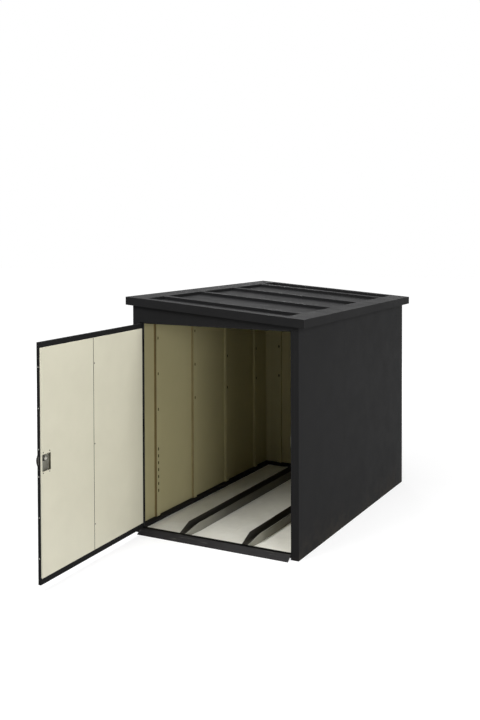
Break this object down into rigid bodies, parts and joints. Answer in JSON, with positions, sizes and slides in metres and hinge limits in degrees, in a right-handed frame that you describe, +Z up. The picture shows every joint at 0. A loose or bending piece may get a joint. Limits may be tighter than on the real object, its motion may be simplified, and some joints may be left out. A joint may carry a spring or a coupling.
{
  "type": "bicycle shelter",
  "caption": "Lockable steel bicycle shelter: a low box with a sloping tray roof, a side-hung lined door with turn handle, and wheel channels on its floor.",
  "frame": {"origin": "centre of the footprint of the walls, on the ground", "axes": "+Z up, -Y out of the doorway, +X towards the low side of the roof"},
  "size_m": [1.337, 3.2174, 1.623],
  "materials": {
    "wall_sheet": "satin dark grey outside, cream coating inside",
    "frame_paint": "satin dark grey powder coat",
    "roof_sheet": "satin dark grey powder coat",
    "door_paint": "satin dark grey powder coat",
    "lining_sheet": "satin cream coating",
    "floor_sheet": "pale satin coating with light scuffs",
    "channel_steel": "dark grey satin coating, scuffed on the rims",
    "zinc_steel": "zinc plated",
    "oiled_steel": "phosphated and oiled",
    "handle_black": "black enamel",
    "seal_rubber": "matt black rubber"
  },
  "bodies": {
    "shell": {"base_rail_left": "frame_paint", "base_rail_right": "frame_paint", "base_rail_rear": "frame_paint", "threshold": "frame_paint", "floor_panel_front": "floor_sheet", "floor_panel_rear": "floor_sheet", "front_post_left": "frame_paint", "front_post_right": "frame_paint", "header": "frame_paint", "door_seal": "seal_rubber", "front_corner_panel_left": "wall_sheet", "front_corner_panel_right": "wall_sheet", "left_wall_panel_1": "wall_sheet", "left_wall_panel_2": "wall_sheet", "left_wall_panel_3": "wall_sheet", "right_wall_panel_1": "wall_sheet", "right_wall_panel_2": "wall_sheet", "right_wall_panel_3": "wall_sheet", "rear_corner_left": "wall_sheet", "rear_corner_right": "wall_sheet", "rear_wall_panel_1": "wall_sheet", "rear_wall_panel_2": "wall_sheet", "left_joint_strips": "lining_sheet", "right_joint_strips": "lining_sheet", "rear_joint_strips": "lining_sheet", "roof_bearers": "zinc_steel", "roof_tray_1": "roof_sheet", "roof_tray_2": "roof_sheet", "roof_tray_3": "roof_sheet", "roof_tray_4": "roof_sheet", "roof_tray_5": "roof_sheet", "roof_ribs": "roof_sheet", "roof_border_front": "roof_sheet", "roof_border_rear": "roof_sheet", "roof_border_left": "roof_sheet", "roof_border_right": "roof_sheet", "wheel_channel_left_front": "channel_steel", "wheel_channel_left_rear": "channel_steel", "wheel_channel_right_front": "channel_steel", "wheel_channel_right_rear": "channel_steel", "frame_hinge_leaves": "frame_paint", "hinge_pins": "zinc_steel", "strike_plate": "zinc_steel"},
    "door": {"door_skin": "door_paint", "door_lining_hinge_side": "lining_sheet", "door_lining_lock_side": "lining_sheet", "door_hinge_leaves": "frame_paint", "lock_case": "zinc_steel", "rod_guides": "zinc_steel", "handle_escutcheon": "handle_black"},
    "handle": {"handle": "handle_black", "lock_cam": "oiled_steel"},
    "key": {"key_cylinder": "zinc_steel"},
    "top_rod": {"top_rod": "oiled_steel"},
    "bottom_rod": {"bottom_rod": "oiled_steel"},
    "side_bolt": {"side_bolt": "oiled_steel"}
  },
  "joints": [
    {"name": "door_swing", "type": "hinge", "parent": "shell", "child": "door", "pos_m": [-0.566, -1.0285, 0.745], "axis": [0, 0, 1], "range_deg": [-20, 87.25]},
    {"name": "handle_turn", "type": "hinge", "parent": "door", "child": "handle", "pos_m": [-0.50876, -2.10549, 0.765], "axis": [-0.9988, -0.048, 0], "range_deg": [0, 90]},
    {"name": "key_turn", "type": "hinge", "parent": "handle", "child": "key", "pos_m": [-0.54472, -2.10722, 0.765], "axis": [-0.9988, -0.048, 0], "range_deg": [0, 90]},
    {"name": "top_rod_slide", "type": "slide", "parent": "door", "child": "top_rod", "axis": [0, 0, 1], "range_m": [0, 0.02263]},
    {"name": "bottom_rod_slide", "type": "slide", "parent": "door", "child": "bottom_rod", "axis": [0, 0, -1], "range_m": [0, 0.02263]},
    {"name": "side_bolt_slide", "type": "slide", "parent": "door", "child": "side_bolt", "axis": [0.048, -0.9988, 0], "range_m": [0, 0.02263]}
  ],
  "couplings": [
    {"joint": "handle_turn", "follows": "top_rod_slide", "rad_per_m": 69.41},
    {"joint": "bottom_rod_slide", "follows": "top_rod_slide", "ratio": 1},
    {"joint": "side_bolt_slide", "follows": "top_rod_slide", "ratio": 1}
  ]
}
